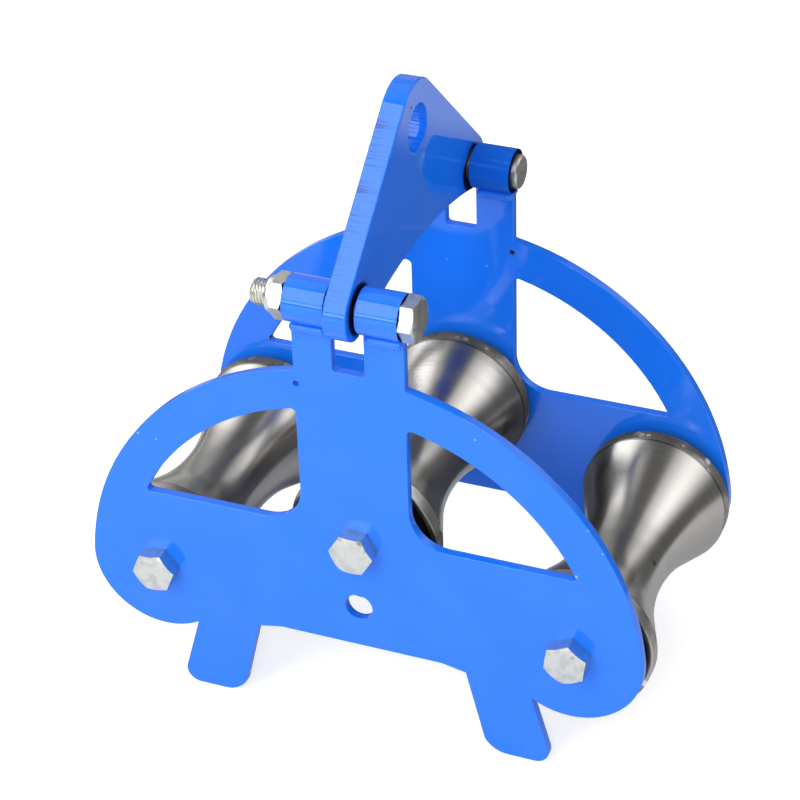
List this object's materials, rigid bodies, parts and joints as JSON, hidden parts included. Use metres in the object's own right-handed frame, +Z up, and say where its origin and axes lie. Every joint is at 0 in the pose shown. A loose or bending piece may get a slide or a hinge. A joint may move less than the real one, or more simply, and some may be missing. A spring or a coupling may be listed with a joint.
{
  "type": "cable pulley",
  "caption": "Hanging cable pulley with two arched side plates on feet, waisted rollers in a row and a hinged triangular hanger held by a bolt and a pull-out pin.",
  "frame": {"origin": "middle of the footprint at the height of the feet's soles", "axes": "+X along the cable's run, towards the pivot bolt's head; +Y from the plate with the pivot bolt to the plate with the release pin; +Z up"},
  "size_m": [0.356, 0.2199, 0.3883],
  "materials": {
    "blue_paint": "glossy blue enamel on flame-cut steel",
    "zinc": "zinc-plated, slightly dull",
    "bright_wire": "bright drawn wire",
    "turned_steel": "turned and polished by use, with fine rings",
    "bearing_steel": "ground steel",
    "ball_steel": "polished",
    "cage_brass": "drawn brass",
    "seal_rubber": "matt black",
    "spring_steel": "oiled black spring steel"
  },
  "bodies": {
    "frame": {"side_plate_near": "blue_paint", "side_plate_far": "blue_paint", "barrel_near_left": "blue_paint", "barrel_near_right": "blue_paint", "barrel_far_left": "blue_paint", "barrel_far_right": "blue_paint", "barrel_welds_near": "blue_paint", "barrel_welds_far": "blue_paint", "hanger_yoke": "blue_paint", "pivot_bolt": "zinc", "pivot_nut": "zinc", "axle_bolts": "zinc", "axle_nuts": "zinc", "inner_rings_left": "bearing_steel", "inner_rings_mid": "bearing_steel", "inner_rings_right": "bearing_steel", "sleeve_left": "bearing_steel", "sleeve_mid": "bearing_steel", "sleeve_right": "bearing_steel", "spacer_left": "bearing_steel", "spacer_mid": "bearing_steel", "spacer_right": "bearing_steel", "collars_left": "bearing_steel", "collars_mid": "bearing_steel", "collars_right": "bearing_steel"},
    "roller_left": {"roller_left": "turned_steel", "outer_rings_left": "bearing_steel", "balls_left": "ball_steel", "cages_left": "cage_brass", "seals_left": "seal_rubber", "snap_rings_left": "spring_steel"},
    "roller_mid": {"roller_mid": "turned_steel", "outer_rings_mid": "bearing_steel", "balls_mid": "ball_steel", "cages_mid": "cage_brass", "seals_mid": "seal_rubber", "snap_rings_mid": "spring_steel"},
    "roller_right": {"roller_right": "turned_steel", "outer_rings_right": "bearing_steel", "balls_right": "ball_steel", "cages_right": "cage_brass", "seals_right": "seal_rubber", "snap_rings_right": "spring_steel"},
    "release_pin": {"release_pin": "zinc"},
    "pull_ring": {"pull_ring": "bright_wire"}
  },
  "joints": [
    {"name": "roller_left_spin", "type": "hinge", "parent": "frame", "child": "roller_left", "pos_m": [-0.1315, 0, 0.0855], "axis": [0, 1, 0], "continuous": true},
    {"name": "roller_mid_spin", "type": "hinge", "parent": "frame", "child": "roller_mid", "pos_m": [0, 0, 0.131], "axis": [0, 1, 0], "continuous": true},
    {"name": "roller_right_spin", "type": "hinge", "parent": "frame", "child": "roller_right", "pos_m": [0.1315, 0, 0.0855], "axis": [0, 1, 0], "continuous": true},
    {"name": "release_pin_slide", "type": "slide", "parent": "frame", "child": "release_pin", "axis": [-1, 0, 0], "range_m": [0, 0.048]},
    {"name": "pull_ring_swing", "type": "hinge", "parent": "release_pin", "child": "pull_ring", "pos_m": [-0.0517, 0.0895, 0.29279], "axis": [0, 1, 0], "range_deg": [-5, 90]}
  ]
}
